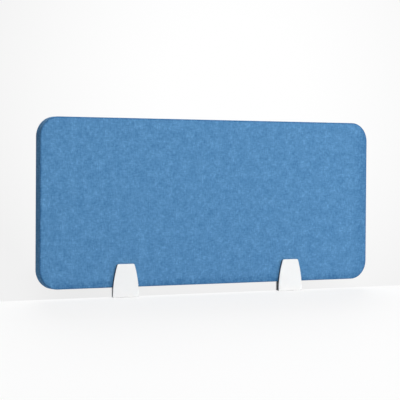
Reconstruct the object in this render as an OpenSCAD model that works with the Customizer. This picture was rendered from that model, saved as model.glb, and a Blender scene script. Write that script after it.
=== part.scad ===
// Acoustic divider screen for a desk: a fabric-covered, sound-absorbing panel held by two clamps
// that grip the rear edge of the desk-top.
// X runs along the desk, the front faces -Y and Z is up. The origin lies on the desk-top's rear
// edge, midway along the panel, so the desk-top is the plane z = 0 and its edge is the plane y = 0.

/* [Panel] */
// Width of the covered panel
panel_w = 1400; // [1000:10:1800]
// Height of the covered panel
panel_h = 600; // [350:10:900]
// Thickness of the covered panel
panel_t = 40; // [34:1:60]
// Radius of the panel's four rounded corners
panel_corner_r = 70; // [62:1:120]
// Height of the panel's lower edge over the desk-top
panel_lift = 36; // [32:1:60]

/* [Panel layers] */
// Thickness of the fabric
fabric_t = 1.2; // [0.8:0.1:2]
// Thickness of the wadding under the fabric, on each face
wadding_t = 3.8; // [2:0.1:5]
// Width of the frame's rails and stiles
rail_w = 45; // [38:1:50]
// Width of the two studs that stand over the clamps
stud_w = 45; // [38:1:60]
// Radius of the frame's inner corners
frame_inner_r = 18; // [8:1:24]
// Straight length of a corner block past its arc
corner_leg = 20; // [14:1:30]
// Clearance round each slab of the acoustic core
core_gap = 0.5; // [0.3:0.1:2]
// Diameter of the dowels that join the frame
dowel_d = 8; // [6:1:10]
// Length of the dowels
dowel_len = 36; // [24:1:40]

/* [Desk] */
// Thickness of the desk-top that the clamps grip as drawn
desk_t = 25; // [12:1:38]
// Thinnest desk-top that the clamps grip
desk_t_min = 10; // [8:1:12]
// Thickest desk-top that the clamps grip
desk_t_max = 40; // [38:1:60]

/* [Clamp places] */
// From the panel's left end to the middle of the left clamp
left_clamp_inset = 333; // [180:1:400]
// From the panel's right end to the middle of the right clamp
right_clamp_inset = 362; // [180:1:400]

/* [Front plates] */
// Height of the plates over the panel's lower edge
plate_over = 83; // [70:1:110]
// Width of a front plate at the desk-top
plate_base_w = 105; // [98:1:130]
// Width of a front plate at its top
plate_top_w = 67; // [56:1:84]
// How far a front plate stands out from the fabric
plate_d = 10; // [10:1:20]
// Thickness of the cast front plate
plate_wall = 3; // [2:0.5:4]
// Radius of a front plate's upper corners
plate_corner_r = 7; // [6:1:12]
// Radius rolled along a front plate's outer edge
plate_edge_r = 1.5; // [0.5:0.5:1.5]
// How far the rubber pad and the saddle block behind a front plate lie within its edge
backing_inset = 1; // [0.5:0.5:3]
// Height of the bosses behind a front plate
boss_h = 4; // [3.5:0.5:4.5]

/* [Rear brackets] */
// Width of a rear bracket's strap
strap_w = 54; // [53:1:90]
// Thickness of the strap
strap_t = 5; // [4:0.5:8]
// Inner radius of the strap's bend
bend_r = 5; // [4:0.5:10]
// Radius of the strap's upper corners
strap_corner_r = 8; // [4:1:14]
// Radius of the arm's round nose
nose_r = 22; // [17:1:25]
// Thickness of the rubber pad behind the panel
rear_pad_t = 2; // [1:0.5:3]
// Thickness of the rubber buffer on the desk's edge
buffer_t = 4; // [3:0.5:6]
// Width of the rubber buffer
buffer_w = 46; // [36:1:52]

/* [Saddle blocks] */
// Width of the block under the panel, behind its wide front flange
saddle_w = 52; // [50:1:66]
// Thickness of the rubber foot under the block
foot_t = 3; // [2:0.5:5]
// How far the foot stands below the block and the front plate
foot_proud = 1; // [0.5:0.5:1.5]

/* [Fasteners] */
// Diameter of the bolts that draw the front plate to the rear bracket
bolt_d = 6; // [5:1:6]
// Distance between the two bolts
bolt_pitch = 30; // [26:1:34]
// Outer diameter of the threaded inserts in the front plate
insert_d = 8; // [7.5:0.5:9]
// Length of the threaded inserts
insert_len = 5; // [4:0.5:5.5]
// Diameter of the screws into the panel
panel_screw_d = 4.5; // [3.5:0.5:5]
// Length of the screws into the panel
panel_screw_len = 30; // [24:1:32]
// Distance between the two screws into the panel
panel_screw_pitch = 36; // [30:1:42]

/* [Clamp screws] */
// Diameter of the clamp screw
screw_d = 10; // [8:1:12]
// From the desk's edge to the screw's axis
screw_reach = 32; // [28:1:40]
// Diameter of the pressure plate
press_d = 42; // [34:1:50]
// Thickness of the pressure plate
press_t = 4; // [3:0.5:6]
// Thickness of the rubber face on the pressure plate
press_pad_t = 3; // [2:0.5:5]
// Height of the hub under the pressure plate
hub_h = 6; // [4:0.5:9]
// Outer diameter of the threaded bush
bush_d = 16; // [15:1:20]
// Length of the bush below the arm
bush_below = 9; // [6:1:14]
// Outer diameter of the knob
knob_d = 50; // [40:1:60]
// Height of the knob's grip
knob_h = 18; // [14:1:24]
// Number of lobes round the knob
knob_lobes = 6; // [5:1:9]

/* [Hidden] */
$fn = 64;

// How far a cutting shape runs past what it cuts
over = 1;
// Thickness of the thin slices that a rounded edge is hulled from
slice_t = 0.02;
// Radial clearance of a turning shaft
running_gap = 0.05;
// Radial clearance of a bolt or screw in a drilled hole
hole_gap = 0.3;
// Radial clearance of a glued dowel and of a pressed or moulded-in piece
seat_gap = 0.05;
// Clearance round the foot and the plate's bosses in the saddle block, and over the block
saddle_gap = 0.3;
// Clearance left between the pads' edges and what stands round them
pad_inset = 2;

// The panel's layers, from the back to the front
panel_back_y = buffer_t - rear_pad_t;
panel_front_y = panel_back_y - panel_t;
frame_back_y = panel_back_y - fabric_t - wadding_t;
frame_t = panel_t - 2 * (fabric_t + wadding_t);
frame_mid_y = frame_back_y - frame_t / 2;
panel_mid_z = panel_lift + panel_h / 2;

// The frame under the fabric
frame_w = panel_w - 2 * fabric_t;
frame_h = panel_h - 2 * fabric_t;
frame_r = panel_corner_r - fabric_t;
open_w = frame_w - 2 * rail_w;
open_h = frame_h - 2 * rail_w;
corner_w = frame_r + corner_leg;
rail_len = frame_w - 2 * corner_w;
stile_len = frame_h - 2 * corner_w;
dowel_pitch = rail_w / 2;

// The middles of the two clamps, and of the studs over them
left_x = left_clamp_inset - panel_w / 2;
right_x = panel_w / 2 - right_clamp_inset;

// The front plate and the saddle block
plate_h = panel_lift + plate_over - foot_proud;
plate_top_z = panel_lift + plate_over;
plate_front_y = panel_front_y - plate_d;
plate_flare = (plate_base_w - plate_top_w) / 2;
plate_side_r = (plate_h * plate_h + plate_flare * plate_flare) / (2 * plate_flare);
saddle_front_y = plate_front_y + plate_wall;
boss_back_y = saddle_front_y + boss_h;
boss_wall = 3;
bolt_z = panel_lift / 2;
foot_l = -panel_front_y - pad_inset;
foot_w = saddle_w - 4 * pad_inset;

// The rear bracket
strap_front_y = buffer_t;
strap_back_y = strap_front_y + strap_t;
bush_flange_t = 3;
park_gap = 4;
arm_top_z = -(desk_t_max + press_pad_t + press_t + hub_h + bush_flange_t + park_gap);
arm_bottom_z = arm_top_z - strap_t;
bend_y = strap_front_y - bend_r;
bend_z = arm_top_z + bend_r;
arm_shoulder = 10;
buffer_gap = 1;

// Heads and recesses of the fasteners
bolt_head_r = 0.875 * bolt_d;
bolt_head_h = 0.55 * bolt_d;
bolt_socket_r = 0.385 * bolt_d;
bolt_socket_depth = 0.34 * bolt_d;
bolt_grip = 4;
panel_screw_head_r = panel_screw_d;
panel_screw_head_h = 0.6 * panel_screw_d;
panel_screw_slot_w = 0.2 * panel_screw_d;
panel_screw_slot_l = 1.1 * panel_screw_d;
panel_screw_z = panel_lift + fabric_t + rail_w / 2;

// The clamp screw, from the pressure pad down to the knob
pad_top_z = -desk_t;
press_top_z = pad_top_z - press_pad_t;
hub_top_z = press_top_z - press_t;
hub_bottom_z = hub_top_z - hub_h;
hub_r = 0.8 * screw_d;
stub_r = 0.3 * screw_d;
groove_r = 0.25 * screw_d;
clip_r = 0.55 * screw_d;
clip_t = 0.8;
clip_well_r = 0.7 * screw_d;
clip_well_h = 2.4;
end_gap = 0.3;
clip_z = press_top_z - clip_well_h + running_gap;
knob_park_gap = 1;
knob_hub_h = 8;
knob_hub_r = 0.24 * knob_d;
knob_cap_t = 2.5;
knob_cap_r = 0.2 * knob_d;
knob_floor = 2;
lobe_depth = 0.1 * knob_d;
lobe_points = 12;
bush_bottom_z = arm_bottom_z - bush_below;
knob_top_z = bush_bottom_z - knob_park_gap - (desk_t - desk_t_min);
knob_bottom_z = knob_top_z - knob_hub_h - knob_h;
screw_bottom_z = knob_bottom_z + knob_cap_t + knob_floor;

side_points = 10;
corner_points = 5;

// Stands a flat shape up in the panel's plane, with its back at y, and gives it a thickness
module upright(y, t) {
    translate([0, y, 0])
        rotate([90, 0, 0])
            linear_extrude(t)
                children();
}

// The same for shapes drawn round the middle of the panel
module panel_layer(y, t) {
    translate([0, 0, panel_mid_z])
        upright(y, t)
            children();
}

module rounded_rect(w, h, r) {
    square([w - 2 * r, h], center = true);
    square([w, h - 2 * r], center = true);
    for (x = [-1, 1], y = [-1, 1])
        translate([x * (w / 2 - r), y * (h / 2 - r)])
            circle(r);
}

// A cylinder along Y from a back face towards the front
module rod(x, z, r, back_y, l) {
    translate([x, back_y, z])
        rotate([90, 0, 0])
            cylinder(r = r, h = l);
}

// A box given by its two opposite corners
module box(a, b) {
    translate(a)
        cube(b - a);
}

// Panel frame

module frame_outline() {
    rounded_rect(frame_w, frame_h, frame_r);
}

module frame_ring() {
    difference() {
        frame_outline();
        rounded_rect(open_w, open_h, frame_inner_r);
    }
}

module dowel_at(x, z, lies, r) {
    translate([x, frame_mid_y, panel_mid_z + z])
        rotate(lies ? [0, 90, 0] : [0, 0, 0])
            cylinder(r = r, h = dowel_len, center = true, $fn = 32);
}

module dowels(r) {
    for (x = [-1, 1], z = [-1, 1], k = [-0.5, 0.5]) {
        dowel_at(x * rail_len / 2, z * (frame_h - rail_w) / 2 + k * dowel_pitch, true, r);
        dowel_at(x * (frame_w - rail_w) / 2 + k * dowel_pitch, z * stile_len / 2, false, r);
    }
    for (x = [left_x, right_x], z = [-1, 1], k = [-0.5, 0.5])
        dowel_at(x + k * dowel_pitch, z * open_h / 2, false, r);
}

module panel_screw_holes(gap) {
    for (x = [left_x, right_x], k = [-0.5, 0.5])
        rod(x + k * panel_screw_pitch, panel_screw_z, panel_screw_d / 2 + gap,
            strap_back_y, panel_screw_len);
}

// A piece of the frame: the part of the ring within a rectangle round (x, z)
module frame_piece(x, z, w, h) {
    color("tan")
        difference() {
            panel_layer(frame_back_y, frame_t)
                intersection() {
                    frame_ring();
                    translate([x, z])
                        square([w, h], center = true);
                }
            dowels(dowel_d / 2 + seat_gap);
        }
}

module rail(side) {
    frame_piece(0, side * (frame_h - rail_w) / 2, rail_len, rail_w);
}

module stile(side) {
    frame_piece(side * (frame_w - rail_w) / 2, 0, rail_w, stile_len);
}

module corner_block(x_side, z_side) {
    frame_piece(x_side * (frame_w - corner_w) / 2, z_side * (frame_h - corner_w) / 2,
        corner_w, corner_w);
}

module stud(x) {
    color("tan")
        difference() {
            panel_layer(frame_back_y, frame_t)
                translate([x, 0])
                    square([stud_w, open_h], center = true);
            dowels(dowel_d / 2 + seat_gap);
        }
}

module bottom_rail() {
    difference() {
        rail(-1);
        panel_screw_holes(seat_gap);
    }
}

module top_rail() {
    rail(1);
}

module left_stile() {
    stile(-1);
}

module right_stile() {
    stile(1);
}

module bottom_left_corner() {
    corner_block(-1, -1);
}

module bottom_right_corner() {
    corner_block(1, -1);
}

module top_left_corner() {
    corner_block(-1, 1);
}

module top_right_corner() {
    corner_block(1, 1);
}

module left_stud() {
    stud(left_x);
}

module right_stud() {
    stud(right_x);
}

module frame_dowels() {
    color("burlywood")
        dowels(dowel_d / 2);
}

// Acoustic core, wadding and fabric

// A slab of sound-absorbing felt between two uprights of the frame
module core(x0, x1) {
    color("lightslategray")
        panel_layer(frame_back_y, frame_t)
            intersection() {
                rounded_rect(open_w - 2 * core_gap, open_h - 2 * core_gap, frame_inner_r);
                translate([x0 + core_gap, -open_h / 2])
                    square([x1 - x0 - 2 * core_gap, open_h]);
            }
}

module left_core() {
    core(-open_w / 2, left_x - stud_w / 2);
}

module middle_core() {
    core(left_x + stud_w / 2, right_x - stud_w / 2);
}

module right_core() {
    core(right_x + stud_w / 2, open_w / 2);
}

module front_wadding() {
    color("whitesmoke")
        panel_layer(frame_back_y - frame_t, wadding_t)
            frame_outline();
}

module rear_wadding() {
    color("whitesmoke")
        difference() {
            panel_layer(frame_back_y + wadding_t, wadding_t)
                frame_outline();
            panel_screw_holes(hole_gap);
        }
}

module front_cover() {
    color("steelblue")
        panel_layer(panel_front_y + fabric_t, fabric_t)
            rounded_rect(panel_w, panel_h, panel_corner_r);
}

module rear_cover() {
    color("steelblue")
        difference() {
            panel_layer(panel_back_y, fabric_t)
                rounded_rect(panel_w, panel_h, panel_corner_r);
            panel_screw_holes(hole_gap);
        }
}

// The strip of fabric round the panel's edge, sewn to both covers
module edge_band() {
    color("slategray")
        panel_layer(panel_back_y - fabric_t, panel_t - 2 * fabric_t)
            difference() {
                rounded_rect(panel_w, panel_h, panel_corner_r);
                frame_outline();
            }
}

// Front plate, drawn with its clamp's middle at x = 0

// Half of the plate's outline, drawn in by t: the side is an arc that stands upright at the
// desk-top, and a fillet joins it to the top
function plate_half(t) =
    let (
        cx = plate_base_w / 2 - plate_side_r,
        r = plate_side_r - t,
        fillet = plate_corner_r - t,
        fz = plate_h - plate_corner_r,
        fx = sqrt(pow(plate_side_r - plate_corner_r, 2) - fz * fz) + cx,
        low = asin(t / r),
        high = atan2(fz, fx - cx)
    )
    concat(
        [for (i = [0:side_points])
            let (a = low + (high - low) * i / side_points)
            [cx + r * cos(a), foot_proud + r * sin(a)]],
        [for (i = [1:corner_points])
            let (a = high + (90 - high) * i / corner_points)
            [fx + fillet * cos(a), foot_proud + fz + fillet * sin(a)]]
    );

module plate_outline(t) {
    half = plate_half(t);
    last = len(half) - 1;
    polygon(concat(half, [for (i = [last:-1:0]) [-half[i][0], half[i][1]]]));
}

module plate_body() {
    rolled = plate_edge_r * (1 - cos(45));
    hull() {
        upright(saddle_front_y, plate_wall - plate_edge_r)
            plate_outline(0);
        upright(plate_front_y + rolled + slice_t, slice_t)
            plate_outline(rolled);
        upright(plate_front_y + slice_t, slice_t)
            plate_outline(plate_edge_r);
    }
}

module front_plate() {
    color("white")
        difference() {
            union() {
                plate_body();
                plate_bosses(0, boss_h + plate_edge_r);
            }
            for (k = [-0.5, 0.5])
                rod(k * bolt_pitch, bolt_z, insert_d / 2, boss_back_y + over,
                    insert_len + over);
        }
}

module plate_bosses(gap, h) {
    for (k = [-0.5, 0.5])
        rod(k * bolt_pitch, bolt_z, insert_d / 2 + boss_wall + gap, boss_back_y + gap, h);
}

module front_pad() {
    color("dimgray")
        upright(panel_front_y, plate_d - plate_wall)
            difference() {
                plate_outline(backing_inset);
                translate([-plate_base_w / 2, 0])
                    square([plate_base_w, panel_lift + saddle_gap]);
            }
}

module bolt_inserts() {
    color("goldenrod")
        for (k = [-0.5, 0.5])
            difference() {
                rod(k * bolt_pitch, bolt_z, insert_d / 2, boss_back_y, insert_len);
                rod(k * bolt_pitch, bolt_z, bolt_d / 2 + running_gap, boss_back_y + over,
                    insert_len + 2 * over);
            }
}

// Saddle block and foot

// A flange as wide as the front plate stands behind it, and the block runs back under the panel
module saddle_block() {
    color("black")
        difference() {
            union() {
                box([-saddle_w / 2, panel_front_y - over, foot_proud],
                    [saddle_w / 2, strap_front_y, panel_lift]);
                upright(panel_front_y, plate_d - plate_wall)
                    intersection() {
                        plate_outline(backing_inset);
                        translate([-plate_base_w / 2, foot_proud])
                            square([plate_base_w, panel_lift - foot_proud]);
                    }
            }
            plate_bosses(saddle_gap, boss_h + saddle_gap + over);
            foot_shape(saddle_gap, foot_proud - over, foot_t + seat_gap);
            for (k = [-0.5, 0.5])
                rod(k * bolt_pitch, bolt_z, bolt_d / 2 + hole_gap, strap_front_y + over,
                    strap_front_y - saddle_front_y + 2 * over);
        }
}

module foot_shape(gap, z0, z1) {
    mid_y = -pad_inset - foot_l / 2;
    box([-foot_w / 2 - gap, mid_y - foot_l / 2 - gap, z0],
        [foot_w / 2 + gap, mid_y + foot_l / 2 + gap, z1]);
}

module foot_pad() {
    color("dimgray")
        foot_shape(0, 0, foot_t);
}

// Rear bracket: one bent strap, with an arm that reaches under the desk-top

module strap_outline() {
    top = plate_top_z - strap_corner_r;
    translate([-strap_w / 2, bend_z])
        square([strap_w, top - bend_z]);
    translate([-strap_w / 2 + strap_corner_r, bend_z])
        square([strap_w - 2 * strap_corner_r, plate_top_z - bend_z]);
    for (k = [-1, 1])
        translate([k * (strap_w / 2 - strap_corner_r), top])
            circle(strap_corner_r);
}

module strap_bend() {
    translate([-strap_w / 2, bend_y, bend_z])
        rotate([0, 90, 0])
            rotate_extrude(angle = 90)
                translate([bend_r, 0])
                    square([strap_t, strap_w]);
}

module arm_outline() {
    hull() {
        translate([0, -screw_reach])
            circle(nose_r);
        translate([-strap_w / 2, bend_y - arm_shoulder])
            square([strap_w, arm_shoulder]);
    }
}

module rear_bracket() {
    color("white")
        difference() {
            union() {
                upright(strap_back_y, strap_t)
                    strap_outline();
                strap_bend();
                translate([0, 0, arm_bottom_z])
                    linear_extrude(strap_t)
                        arm_outline();
            }
            for (k = [-0.5, 0.5]) {
                rod(k * bolt_pitch, bolt_z, bolt_d / 2 + hole_gap, strap_back_y + over,
                    strap_t + 2 * over);
                rod(k * panel_screw_pitch, panel_screw_z, panel_screw_d / 2 + hole_gap,
                    strap_back_y + over, strap_t + 2 * over);
            }
            translate([0, -screw_reach, arm_bottom_z - over])
                cylinder(r = bush_d / 2, h = strap_t + 2 * over);
        }
}

module rear_pad() {
    color("dimgray")
        difference() {
            box([-strap_w / 2 + pad_inset, panel_back_y, panel_lift + pad_inset],
                [strap_w / 2 - pad_inset, strap_front_y, plate_top_z - strap_corner_r]);
            for (k = [-0.5, 0.5])
                rod(k * panel_screw_pitch, panel_screw_z, panel_screw_d / 2 + hole_gap,
                    strap_front_y + over, rear_pad_t + 2 * over);
        }
}

module edge_buffer() {
    color("dimgray")
        box([-buffer_w / 2, 0, bend_z + buffer_gap],
            [buffer_w / 2, buffer_t, -buffer_gap]);
}

// Fasteners

module cross_bolts() {
    color("silver")
        for (k = [-0.5, 0.5])
            difference() {
                union() {
                    rod(k * bolt_pitch, bolt_z, bolt_head_r, strap_back_y + bolt_head_h,
                        bolt_head_h);
                    rod(k * bolt_pitch, bolt_z, bolt_d / 2, strap_back_y,
                        strap_back_y - boss_back_y + bolt_grip);
                }
                translate([k * bolt_pitch, strap_back_y + bolt_head_h + over, bolt_z])
                    rotate([90, 0, 0])
                        cylinder(r = bolt_socket_r, h = bolt_socket_depth + over, $fn = 6);
            }
}

module panel_screws() {
    color("silver")
        for (k = [-0.5, 0.5])
            difference() {
                union() {
                    rod(k * panel_screw_pitch, panel_screw_z, panel_screw_head_r,
                        strap_back_y + panel_screw_head_h, panel_screw_head_h);
                    rod(k * panel_screw_pitch, panel_screw_z, panel_screw_d / 2,
                        strap_back_y, panel_screw_len);
                }
                for (turn = [0, 90])
                    translate([k * panel_screw_pitch, strap_back_y + panel_screw_head_h,
                        panel_screw_z])
                        rotate([0, turn, 0])
                            cube([panel_screw_slot_w, panel_screw_head_h,
                                panel_screw_slot_l], center = true);
            }
}

// Clamp screw, pressure plate and knob, drawn round the screw's axis

module on_screw_axis(z) {
    translate([0, -screw_reach, z])
        children();
}

module screw_bush() {
    color("gray")
        difference() {
            union() {
                on_screw_axis(bush_bottom_z)
                    cylinder(r = bush_d / 2, h = arm_top_z - bush_bottom_z);
                on_screw_axis(arm_top_z)
                    cylinder(r = bush_d / 2 + bush_flange_t, h = bush_flange_t);
            }
            on_screw_axis(bush_bottom_z - over)
                cylinder(r = screw_d / 2 + running_gap,
                    h = arm_top_z - bush_bottom_z + bush_flange_t + 2 * over);
        }
}

module pressure_plate() {
    color("silver")
        difference() {
            union() {
                on_screw_axis(hub_top_z)
                    cylinder(r = press_d / 2, h = press_t);
                on_screw_axis(hub_bottom_z)
                    cylinder(r = hub_r, h = hub_h);
            }
            on_screw_axis(hub_bottom_z - over)
                cylinder(r = stub_r + running_gap, h = hub_h + press_t + 2 * over);
            on_screw_axis(press_top_z - clip_well_h)
                cylinder(r = clip_well_r, h = clip_well_h + over);
        }
}

module pressure_pad() {
    color("dimgray")
        on_screw_axis(press_top_z)
            cylinder(r = press_d / 2, h = press_pad_t);
}

module retaining_clip() {
    color("gray")
        difference() {
            on_screw_axis(clip_z)
                cylinder(r = clip_r, h = clip_t);
            on_screw_axis(clip_z - over)
                cylinder(r = groove_r, h = clip_t + 2 * over);
        }
}

module clamp_screw() {
    shoulder_z = hub_bottom_z - running_gap;
    color("silver") {
        on_screw_axis(screw_bottom_z)
            cylinder(r = screw_d / 2, h = shoulder_z - screw_bottom_z);
        on_screw_axis(shoulder_z)
            cylinder(r = stub_r, h = clip_z - shoulder_z);
        on_screw_axis(clip_z)
            cylinder(r = groove_r, h = clip_t);
        on_screw_axis(clip_z + clip_t)
            cylinder(r = stub_r, h = press_top_z - end_gap - clip_z - clip_t);
    }
}

// The knob's radius swings between its lobes and the hollows between them
function lobe_r(a) = knob_d / 2 - lobe_depth * (1 - cos(knob_lobes * a)) / 2;

module knob() {
    count = knob_lobes * lobe_points;
    color("black")
        difference() {
            union() {
                on_screw_axis(knob_bottom_z)
                    linear_extrude(knob_h)
                        polygon([for (i = [0:count - 1])
                            let (a = 360 * i / count) lobe_r(a) * [cos(a), sin(a)]]);
                on_screw_axis(knob_bottom_z + knob_h)
                    cylinder(r = knob_hub_r, h = knob_hub_h);
            }
            on_screw_axis(screw_bottom_z)
                cylinder(r = screw_d / 2 + seat_gap, h = knob_top_z - screw_bottom_z + over);
            on_screw_axis(knob_bottom_z - over)
                cylinder(r = knob_cap_r + seat_gap, h = knob_cap_t + over);
        }
}

module knob_cap() {
    color("gainsboro")
        on_screw_axis(knob_bottom_z)
            cylinder(r = knob_cap_r, h = knob_cap_t);
}

module at_left() {
    translate([left_x, 0, 0])
        children();
}

module at_right() {
    translate([right_x, 0, 0])
        children();
}

bottom_rail();
top_rail();
left_stile();
right_stile();
bottom_left_corner();
bottom_right_corner();
top_left_corner();
top_right_corner();
left_stud();
right_stud();
frame_dowels();
left_core();
middle_core();
right_core();
front_wadding();
rear_wadding();
front_cover();
rear_cover();
edge_band();
at_left() front_plate();  // left_front_plate
at_left() front_pad();  // left_front_pad
at_left() bolt_inserts();  // left_bolt_inserts
at_left() saddle_block();  // left_saddle_block
at_left() foot_pad();  // left_foot_pad
at_left() rear_bracket();  // left_rear_bracket
at_left() rear_pad();  // left_rear_pad
at_left() edge_buffer();  // left_edge_buffer
at_left() cross_bolts();  // left_cross_bolts
at_left() panel_screws();  // left_panel_screws
at_left() screw_bush();  // left_screw_bush
at_left() pressure_plate();  // left_pressure_plate
at_left() pressure_pad();  // left_pressure_pad
at_left() retaining_clip();  // left_retaining_clip
at_left() clamp_screw();  // left_clamp_screw
at_left() knob();  // left_knob
at_left() knob_cap();  // left_knob_cap
at_right() front_plate();  // right_front_plate
at_right() front_pad();  // right_front_pad
at_right() bolt_inserts();  // right_bolt_inserts
at_right() saddle_block();  // right_saddle_block
at_right() foot_pad();  // right_foot_pad
at_right() rear_bracket();  // right_rear_bracket
at_right() rear_pad();  // right_rear_pad
at_right() edge_buffer();  // right_edge_buffer
at_right() cross_bolts();  // right_cross_bolts
at_right() panel_screws();  // right_panel_screws
at_right() screw_bush();  // right_screw_bush
at_right() pressure_plate();  // right_pressure_plate
at_right() pressure_pad();  // right_pressure_pad
at_right() retaining_clip();  // right_retaining_clip
at_right() clamp_screw();  // right_clamp_screw
at_right() knob();  // right_knob
at_right() knob_cap();  // right_knob_cap
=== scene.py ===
"""Acoustic divider screen: a fabric-covered panel in two clamps on the rear edge of a desk-top.

Lengths are in metres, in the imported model's frame: X runs along the desk, the front faces -Y and
Z is up. The desk-top's rear upper edge is the line y = 0, z = 0.
"""
import math

import bmesh
import bpy
import numpy as np
from mathutils import Matrix, Vector


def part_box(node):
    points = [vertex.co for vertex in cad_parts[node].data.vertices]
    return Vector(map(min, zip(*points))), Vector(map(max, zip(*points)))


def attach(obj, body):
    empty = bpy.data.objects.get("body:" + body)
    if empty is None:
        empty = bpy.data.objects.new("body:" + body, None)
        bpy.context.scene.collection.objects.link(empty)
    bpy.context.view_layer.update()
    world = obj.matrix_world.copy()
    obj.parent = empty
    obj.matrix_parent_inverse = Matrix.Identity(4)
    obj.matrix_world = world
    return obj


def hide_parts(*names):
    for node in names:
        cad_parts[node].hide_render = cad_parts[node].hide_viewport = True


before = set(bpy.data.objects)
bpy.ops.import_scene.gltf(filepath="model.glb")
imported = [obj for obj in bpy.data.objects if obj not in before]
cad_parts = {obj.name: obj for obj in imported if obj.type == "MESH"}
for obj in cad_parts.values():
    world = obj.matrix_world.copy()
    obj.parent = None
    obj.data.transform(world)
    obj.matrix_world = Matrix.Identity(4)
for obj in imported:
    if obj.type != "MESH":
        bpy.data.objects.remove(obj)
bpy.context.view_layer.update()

# Camera
# It stands at the left of the screen, far off, a little above the panel's middle, and looks
# slightly down through a long lens. It leans over by a little more than a third of a degree.
camera_at = Vector((-3.21949, -5.21596, 0.47350))
camera_yaw = math.radians(31.418)
camera_pitch = math.radians(1.226)
camera_roll = math.radians(0.38)
camera_data = bpy.data.cameras.new("camera")
camera_data.sensor_width = 36
camera_data.lens = 150.135
camera_data.clip_end = 60
camera = bpy.data.objects.new("camera", camera_data)
bpy.context.scene.collection.objects.link(camera)
bpy.context.scene.camera = camera
ahead = Vector((
    math.sin(camera_yaw) * math.cos(camera_pitch),
    math.cos(camera_yaw) * math.cos(camera_pitch),
    -math.sin(camera_pitch),
))
level = Vector((math.cos(camera_yaw), -math.sin(camera_yaw), 0))
rightward = level * math.cos(camera_roll) + level.cross(ahead) * math.sin(camera_roll)
axes = Matrix((rightward, rightward.cross(ahead), -ahead)).transposed()
camera.matrix_world = Matrix.Translation(camera_at) @ axes.to_4x4()

# Frame boards
# The panel's skeleton: rails, stiles and corner blocks round the edge and two studs over the
# clamps, cut from fibre board and sanded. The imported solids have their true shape.


class Wire:
    """An output of a shader node. Python's operators on it add Math nodes."""

    def __init__(self, tree, node, output):
        self.tree = tree
        self.node = node
        self.socket = node.outputs[output]

    def also(self, output):
        """Another output of the same node."""
        return Wire(self.tree, self.node, output)

    def math(self, operation, *terms):
        return self.tree.add("Math", {"operation": operation}, dict(enumerate((self, *terms))))

    def __add__(self, other):
        return self.math("ADD", other)

    def __sub__(self, other):
        return self.math("SUBTRACT", other)

    def __rsub__(self, other):
        return self.tree.add("Math", {"operation": "SUBTRACT"}, {0: other, 1: self})

    def __mul__(self, other):
        return self.math("MULTIPLY", other)

    def __pow__(self, other):
        return self.math("POWER", other)

    def __gt__(self, other):
        return self.math("GREATER_THAN", other)

    def __abs__(self):
        return self.math("ABSOLUTE")

    __radd__ = __add__
    __rmul__ = __mul__


class Tree:
    """A node tree to which nodes are added."""

    def __init__(self, tree):
        self.tree = tree

    def add(self, kind, settings, inputs, output=0):
        """Adds a node: first its settings, then the values or links of its sockets."""
        node = self.tree.nodes.new("ShaderNode" + kind)
        for key, value in settings.items():
            setattr(node, key, value)
        for key, value in inputs.items():
            if isinstance(value, Wire):
                self.tree.links.new(value.socket, node.inputs[key])
            else:
                node.inputs[key].default_value = value
        return Wire(self, node, output)


class Finish(Tree):
    """A material. Constants are set on its Principled shader, nodes feed what varies."""

    def __init__(self, name, constants):
        self.material = bpy.data.materials.new(name)
        self.material.use_nodes = True
        super().__init__(self.material.node_tree)
        self.shader = self.tree.nodes["Principled BSDF"]
        for socket, value in constants.items():
            self.shader.inputs[socket].default_value = value
        self.place = self.add("TexCoord", {}, {}, "Object")

    def noise(self, size, detail=2, stretch=(1, 1, 1), place=None):
        """Smooth noise from 0 to 1 with grains about size metres across, longer by stretch."""
        scale = tuple(1 / (size * share) for share in stretch)
        at = self.add("Mapping", {}, {"Vector": place or self.place, "Scale": scale})
        return self.add("TexNoise", {}, {"Vector": at, "Scale": 1, "Detail": detail})

    def between(self, share, low, high):
        """The colour at a share of the way from low to high."""
        return self.add("Mix", {"data_type": "RGBA"}, {0: share, 6: low, 7: high}, 2)

    def feed(self, socket, wire):
        self.tree.links.new(wire.socket, self.shader.inputs[socket])

    def relief(self, height, depth):
        """Bumps the surface by depth metres where height goes from 0 to 1."""
        self.feed("Normal", self.add("Bump", {}, {"Height": height, "Distance": depth}))


def coat(node, finish):
    """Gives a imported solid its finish."""
    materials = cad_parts[node].data.materials
    materials.clear()
    materials.append(finish.material)


board = Finish("sanded_fibre_board", {"Roughness": 0.78})
fibres = board.noise(0.0011, 3)
patches = board.noise(0.05)
board.feed("Base Color", board.between(
    fibres * 0.75 + patches * 0.25, (0.46, 0.33, 0.20, 1), (0.74, 0.58, 0.40, 1)))
board.relief(fibres, 0.00008)
for name in ("bottom_rail", "top_rail", "left_stile", "right_stile", "bottom_left_corner",
             "bottom_right_corner", "top_left_corner", "top_right_corner", "left_stud",
             "right_stud"):
    coat(name, board)

# Dowels
# Fluted beech pins, glued across each joint of the frame. Dark flecks run in the pale wood.
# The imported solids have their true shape.
beech = Finish("beech", {"Roughness": 0.6})
flecks = beech.noise(0.0006, 2, (1, 1, 5))
beech.feed("Base Color", beech.between(flecks, (0.60, 0.44, 0.27, 1), (0.86, 0.70, 0.48, 1)))
beech.relief(flecks, 0.00005)
coat("frame_dowels", beech)

# Felt core
# Three slabs of grey recycled felt that fill the frame's bays and take up the sound. They are
# cut with a knife, so their faces are a little uneven and their edges soft.
weld_gap = 2e-6
arc_steps = 12
edge_rows = 4
sharp_angle = math.radians(38)


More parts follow.
